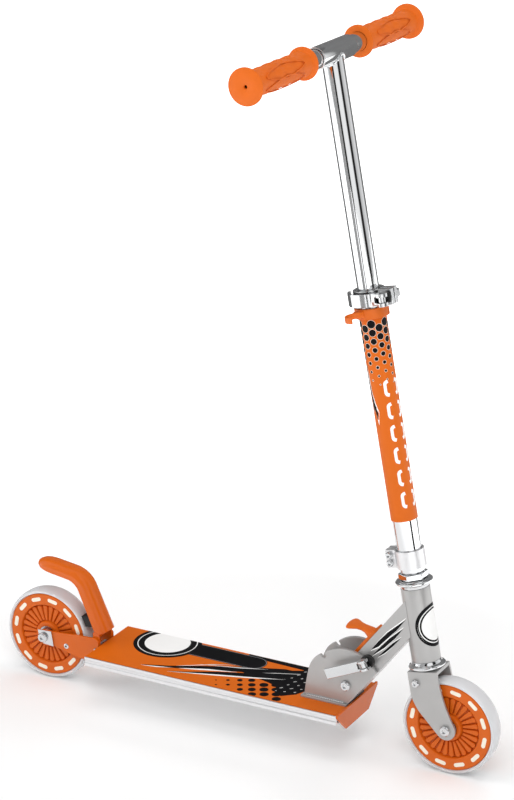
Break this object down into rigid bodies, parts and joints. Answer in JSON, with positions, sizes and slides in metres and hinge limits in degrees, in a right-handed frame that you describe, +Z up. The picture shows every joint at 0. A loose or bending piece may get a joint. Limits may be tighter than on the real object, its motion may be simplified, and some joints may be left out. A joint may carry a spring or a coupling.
{
  "type": "kick scooter",
  "caption": "Child's folding kick scooter: flat deck, foot brake over the rear wheel, folding neck, telescopic column and T handlebar.",
  "frame": {"origin": "on the ground, halfway between the two wheels' contact points, at the bottom centre of the bounding box", "axes": "+X forward, +Y to the rider's left, +Z up"},
  "size_m": [0.68, 0.402, 0.8705],
  "materials": {
    "orange_paint": "gloss enamel",
    "orange_plastic": "moulded, semi-gloss",
    "orange_rubber": "soft matte",
    "chrome": "polished plating",
    "aluminium": "satin",
    "silver_paint": "metallic silver paint",
    "steel": "zinc plated",
    "black_plastic": "moulded",
    "black_rubber": "matte",
    "clear_tyre": "translucent polyurethane"
  },
  "bodies": {
    "deck": {"deck_platform": "aluminium", "deck_sheet": "orange_paint", "front_guard": "orange_paint", "fold_base": "silver_paint", "rear_bracket_left": "orange_paint", "rear_bracket_right": "orange_paint", "axle_plate_left": "steel", "axle_plate_right": "steel", "fold_plate_left": "aluminium", "fold_plate_right": "aluminium", "rear_axle_bolt": "steel", "rear_axle_nut": "steel", "brake_pivot_pin": "steel", "brake_spring": "steel", "fold_pivot_bolt": "steel", "fold_pivot_nut": "steel"},
    "rear_wheel": {"rear_tyre": "clear_tyre", "rear_wheel_core": "orange_plastic", "rear_bearing_left": "steel", "rear_bearing_right": "steel", "rear_bearing_spacer": "steel"},
    "brake": {"brake_fender": "orange_paint", "brake_shoe": "black_rubber"},
    "neck": {"neck_tube": "silver_paint", "head_tube": "silver_paint", "lower_headset_cup": "chrome", "upper_headset_cup": "chrome"},
    "lock": {"release_pull": "orange_plastic", "lock_skewer": "steel", "lock_cup": "black_plastic", "lock_nut": "steel"},
    "fold_clamp_lever": {"lock_lever": "aluminium"},
    "fork": {"fork_legs": "silver_paint", "fork_steerer": "steel", "fork_crown_bolt": "steel", "fork_crown_nut": "steel", "front_axle_bolt": "steel", "front_axle_nut": "steel", "headset_locknut": "chrome", "clamp_collar": "chrome", "clamp_bolt_lower": "steel", "clamp_bolt_upper": "steel", "lower_tube": "chrome", "column_wrap": "orange_paint", "grip_clip": "orange_plastic", "height_collar": "chrome", "height_skewer": "steel", "height_washer": "black_plastic", "height_nut": "chrome"},
    "front_wheel": {"front_tyre": "clear_tyre", "front_wheel_core": "orange_plastic", "front_bearing_left": "steel", "front_bearing_right": "steel", "front_bearing_spacer": "steel"},
    "height_clamp_lever": {"height_lever": "aluminium"},
    "stem": {"upper_tube": "chrome"},
    "left_handle": {"handle_tube_left": "chrome", "grip_left": "orange_rubber"},
    "right_handle": {"handle_tube_right": "chrome", "grip_right": "orange_rubber"}
  },
  "joints": [
    {"name": "rear_wheel_spin", "type": "hinge", "parent": "deck", "child": "rear_wheel", "pos_m": [-0.28, 0, 0.06], "axis": [0, 1, 0], "continuous": true},
    {"name": "front_wheel_spin", "type": "hinge", "parent": "fork", "child": "front_wheel", "pos_m": [0.28, 0, 0.06], "axis": [0, 1, 0], "continuous": true},
    {"name": "brake_press", "type": "hinge", "parent": "deck", "child": "brake", "pos_m": [-0.203, 0, 0.057], "axis": [0, -1, 0], "range_deg": [0, 4], "stiffness_Nm_per_rad": 2, "springref_deg": -14.32},
    {"name": "fold", "type": "hinge", "parent": "deck", "child": "neck", "pos_m": [0.15, 0, 0.09], "axis": [0, -1, 0], "range_deg": [0, 80]},
    {"name": "lock_release", "type": "slide", "parent": "neck", "child": "lock", "axis": [0.6074, 0, 0.7944], "range_m": [-0.0055, 0], "stiffness_N_per_m": 300, "springref_m": -0.02},
    {"name": "fold_lever_turn", "type": "hinge", "parent": "lock", "child": "fold_clamp_lever", "pos_m": [0.18025, -0.0351, 0.12956], "axis": [-0.4163, 0, 0.9092], "range_deg": [0, 110]},
    {"name": "steering", "type": "hinge", "parent": "neck", "child": "fork", "pos_m": [0.26034, 0, 0.05632], "axis": [-0.184, 0, 0.9829], "range_deg": [-90, 90]},
    {"name": "height_slide", "type": "slide", "parent": "fork", "child": "stem", "axis": [-0.184, 0, 0.9829], "range_m": [-0.19, 0]},
    {"name": "height_lever_turn", "type": "hinge", "parent": "fork", "child": "height_clamp_lever", "pos_m": [0.18816, -0.0186, 0.57794], "axis": [-0.184, 0, 0.9829], "range_deg": [0, 120]},
    {"name": "left_handle_pull", "type": "slide", "parent": "stem", "child": "left_handle", "axis": [0, 1, 0], "range_m": [0, 0.035], "stiffness_N_per_m": 150, "springref_m": -0.03},
    {"name": "right_handle_pull", "type": "slide", "parent": "stem", "child": "right_handle", "axis": [0, -1, 0], "range_m": [0, 0.035], "stiffness_N_per_m": 150, "springref_m": -0.03}
  ]
}
